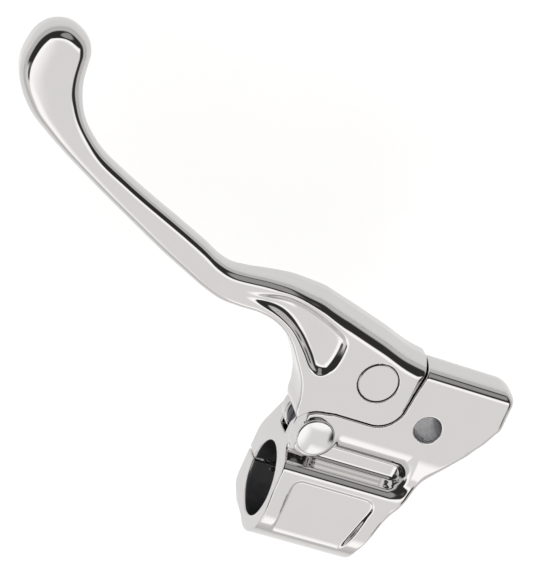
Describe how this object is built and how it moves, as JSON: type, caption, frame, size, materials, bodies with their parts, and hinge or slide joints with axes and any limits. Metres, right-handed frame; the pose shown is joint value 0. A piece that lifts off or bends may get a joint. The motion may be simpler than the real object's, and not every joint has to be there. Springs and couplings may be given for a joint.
{
  "type": "motorcycle clutch lever",
  "caption": "Polished clutch lever with a ball end, hinged on a perch that clamps round a handlebar and holds the clutch cable and a mirror stem.",
  "frame": {"origin": "on the handlebar's axis, 25 mm inboard of the clamp's outboard end face", "axes": "+X along the handlebar towards the middle of the machine, +Y ahead and away from the grip, +Z square to the plane the lever swings in, on the side of the pivot pin's head"},
  "size_m": [0.1885, 0.1456, 0.0397],
  "materials": {
    "polished_chrome": "mirror polished chrome plate",
    "plated_steel": "bright nickel plate",
    "sintered_bronze": "oiled sintered bronze",
    "spring_steel": "dark phosphated spring steel"
  },
  "bodies": {
    "perch": {"perch_body": "polished_chrome", "pivot_pin": "plated_steel", "pivot_pin_ring": "spring_steel", "anti_rattle_washer": "spring_steel", "thrust_washer_upper": "plated_steel", "thrust_washer_lower": "plated_steel", "clamp_screw_outboard": "plated_steel", "clamp_screw_inboard": "plated_steel", "lock_washer_outboard": "spring_steel", "lock_washer_inboard": "spring_steel", "thread_insert_outboard": "plated_steel", "thread_insert_inboard": "plated_steel"},
    "lever": {"lever": "polished_chrome", "lever_pivot_bush": "sintered_bronze"},
    "cable_anchor": {"cable_anchor_pin": "polished_chrome", "anchor_washer": "plated_steel", "anchor_pin_ring": "spring_steel"}
  },
  "joints": [
    {"name": "lever_pull", "type": "hinge", "parent": "perch", "child": "lever", "pos_m": [-0.0202, 0.0269, 0], "axis": [0, 0, 1], "range_deg": [0, 24]},
    {"name": "anchor_swivel", "type": "hinge", "parent": "lever", "child": "cable_anchor", "pos_m": [-0.0079, 0.0501, 0], "axis": [0, 0, 1], "range_deg": [-28.5, 0]}
  ],
  "couplings": [
    {"joint": "anchor_swivel", "follows": "lever_pull", "ratio": -1.17}
  ]
}
